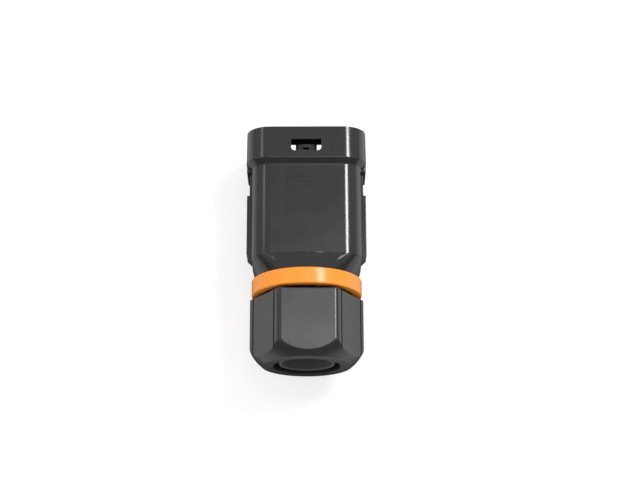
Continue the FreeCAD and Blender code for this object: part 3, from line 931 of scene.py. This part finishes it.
def makeFloor(p):
    # the connector lies on its shroud's lip and its collar ring
    slope = (p["frontDrop"] - p["collarDrop"]) / station["neckEnd"]
    bm = bmesh.new()
    half = p["size"] / 2
    corners = [bm.verts.new((x, y, p["frontDrop"] * mm + slope * y))
               for x, y in ((-half, -half), (half, -half), (half, half), (-half, half))]
    bm.faces.new(corners)
    floor = newObject("floor", meshFrom(bm, "floor"))
    mat = bpy.data.materials.new("floorPaper")
    mat.use_nodes = True
    n, link = mat.node_tree.nodes, mat.node_tree.links.new
    n.clear()
    out = n.new("ShaderNodeOutputMaterial")
    paper = n.new("ShaderNodeBsdfDiffuse")
    tone = n.new("ShaderNodeMapRange")
    tone.inputs["To Min"].default_value = p["seenTone"]
    tone.inputs["To Max"].default_value = p["bounceTone"]
    # in reflections the paper's colour is a painted shadow: it darkens towards the connector's
    # footprint in place of the contact shade there
    place = n.new("ShaderNodeTexCoord")
    steps = (("ADD", (0, p["footY"], 0)), ("ABSOLUTE", None),
             ("SUBTRACT", (p["footX"], p["footY"], 1)), ("MAXIMUM", (0, 0, 0)),
             ("LENGTH", None))
    last = place.outputs["Object"]
    for operation, amount in steps:
        step = n.new("ShaderNodeVectorMath")
        step.operation = operation
        if amount:
            step.inputs[1].default_value = amount
        link(last, step.inputs[0])
        last = step.outputs["Value" if operation == "LENGTH" else "Vector"]
    shade = n.new("ShaderNodeMapRange")
    shade.inputs["From Max"].default_value = p["paintedShadeReach"]
    shade.inputs["To Min"].default_value = p["paintedShadeNear"]
    shade.inputs["To Max"].default_value = p["paintedShadeFar"]
    link(last, shade.inputs["Value"])
    mirrored = n.new("ShaderNodeMapRange")
    link(shade.outputs["Result"], mirrored.inputs["To Max"])
    link(tone.outputs["Result"], mirrored.inputs["To Min"])
    link(mirrored.outputs["Result"], paper.inputs["Color"])
    glow = n.new("ShaderNodeEmission")
    path = n.new("ShaderNodeLightPath")
    link(path.outputs["Is Diffuse Ray"], tone.inputs["Value"])
    link(path.outputs["Is Glossy Ray"], mirrored.inputs["Value"])
    seen = n.new("ShaderNodeMath")
    seen.operation = "MAXIMUM"
    link(path.outputs["Is Camera Ray"], seen.inputs[0])
    link(path.outputs["Is Transmission Ray"], seen.inputs[1])
    bright = n.new("ShaderNodeMath")
    bright.operation = "MULTIPLY"
    bright.inputs[1].default_value = p["glow"]
    link(seen.outputs[0], bright.inputs[0])
    # reflections see a weaker glow, so the shade under the connector stays dark in them
    strength = n.new("ShaderNodeMath")
    strength.operation = "MULTIPLY_ADD"
    strength.inputs[1].default_value = p["mirrorGlow"]
    link(path.outputs["Is Glossy Ray"], strength.inputs[0])
    link(bright.outputs[0], strength.inputs[2])
    link(strength.outputs[0], glow.inputs["Strength"])
    add = n.new("ShaderNodeAddShader")
    link(paper.outputs["BSDF"], add.inputs[0])
    link(glow.outputs["Emission"], add.inputs[1])
    link(add.outputs["Shader"], out.inputs["Surface"])
    floor.data.materials.append(mat)


# Lean from straight up towards X and Y in degrees, size in metres, brightness
lampSettings = {
    "overheadLamp": (4, 8.5, 0.2, 0.16, 4.6),
    "keyLamp": (28.8, 20.2, 0.3, 0.15, 22.0),
    "fillLamp": (-40.5, 27.5, 0.15, 0.15, 2.1),
}


def softLamp(name, towardX, towardY, width, depth, radiance):
    # an oval lamp that faces the connector, set by how bright its face looks
    distance, middle = 0.8, Vector((0, -0.035, 0))
    lamp = bpy.data.lights.new(name, "AREA")
    lamp.shape = "ELLIPSE"
    lamp.size, lamp.size_y = width, depth
    lamp.energy = radiance * math.pi * width * depth
    obj = bpy.data.objects.new(name, lamp)
    bpy.context.scene.collection.objects.link(obj)
    lean = [math.tan(math.radians(angle)) for angle in (towardX, towardY)]
    aim = Vector((*lean, 1)).normalized()
    obj.location = middle + aim * distance
    obj.rotation_mode = "QUATERNION"
    obj.rotation_quaternion = aim.to_track_quat("Z", "Y")


worldSettings = {
    "lean": 25, "low": 0.24, "high": 0.76, "from": 0.15, "to": 0.9, "softLeft": 0.95,
    "softRight": 0.58,
}


def makeWorld(p):
    # a room that is brighter above and behind the mouth, and plain white to the camera
    world = bpy.data.worlds.new("studio")
    bpy.context.scene.world = world
    world.use_nodes = True
    n, link = world.node_tree.nodes, world.node_tree.links.new
    n.clear()
    out = n.new("ShaderNodeOutputWorld")
    coord = n.new("ShaderNodeTexCoord")
    lean = math.radians(p["lean"])
    toward = n.new("ShaderNodeVectorMath")
    toward.operation = "DOT_PRODUCT"
    toward.inputs[1].default_value = (0, math.sin(lean), math.cos(lean))
    upright = n.new("ShaderNodeVectorMath")
    upright.operation = "MULTIPLY"
    upright.inputs[1].default_value = (0, 1, 1)
    link(coord.outputs["Generated"], upright.inputs[0])
    unit = n.new("ShaderNodeVectorMath")
    unit.operation = "NORMALIZE"
    link(upright.outputs["Vector"], unit.inputs[0])
    link(unit.outputs["Vector"], toward.inputs[0])
    level = n.new("ShaderNodeMapRange")
    level.interpolation_type = "SMOOTHSTEP"
    level.inputs["From Min"].default_value = p["from"]
    level.inputs["From Max"].default_value = p["to"]
    level.inputs["To Min"].default_value = p["low"]
    level.inputs["To Max"].default_value = p["high"]
    link(toward.outputs["Value"], level.inputs["Value"])
    # soft light is a little stronger from the left; reflections see the shaped room
    path = n.new("ShaderNodeLightPath")
    place = n.new("ShaderNodeSeparateXYZ")
    link(coord.outputs["Generated"], place.inputs["Vector"])
    soft = n.new("ShaderNodeMapRange")
    soft.inputs["From Min"].default_value = -1
    soft.inputs["To Min"].default_value = p["softLeft"]
    soft.inputs["To Max"].default_value = p["softRight"]
    link(place.outputs["X"], soft.inputs["Value"])
    even = n.new("ShaderNodeMapRange")
    link(soft.outputs["Result"], even.inputs["To Max"])
    link(path.outputs["Is Diffuse Ray"], even.inputs["Value"])
    link(level.outputs["Result"], even.inputs["To Min"])
    room = n.new("ShaderNodeBackground")
    link(even.outputs["Result"], room.inputs["Strength"])
    white = n.new("ShaderNodeBackground")
    for shade in (room, white):
        shade.inputs["Color"].default_value = (1, 1, 1, 1)
    pick = n.new("ShaderNodeMixShader")
    link(path.outputs["Is Camera Ray"], pick.inputs["Fac"])
    link(room.outputs["Background"], pick.inputs[1])
    link(white.outputs["Background"], pick.inputs[2])
    link(pick.outputs["Shader"], out.inputs["Surface"])


cameraSettings = {
    "lens": 90.03, "sensor": 36.0, "tilt": 17.66, "roll": -0.19, "distance": 476.6,
    "aimX": 1.95, "aimY": -32.14, "near": 0.01, "far": 20.0,
}


def makeCamera(p):
    cam = bpy.data.cameras.new("camera")
    cam.lens = p["lens"]
    cam.sensor_width = p["sensor"]
    cam.clip_start, cam.clip_end = p["near"], p["far"]
    obj = bpy.data.objects.new("camera", cam)
    bpy.context.scene.collection.objects.link(obj)
    tilt = math.radians(p["tilt"])
    obj.location = (
        p["aimX"] * mm,
        (p["aimY"] - p["distance"] * math.sin(tilt)) * mm,
        p["distance"] * math.cos(tilt) * mm)
    obj.rotation_mode = "QUATERNION"
    obj.rotation_quaternion = (Quaternion((1, 0, 0), tilt)
                               @ Quaternion((0, 0, 1), math.radians(p["roll"])))
    bpy.context.scene.camera = obj


makeFloor(floorSettings)
for lampName, values in lampSettings.items():
    softLamp(lampName, *values)
makeWorld(worldSettings)
makeCamera(cameraSettings)
bpy.context.scene.view_settings.view_transform = "Standard"
print("stage set")
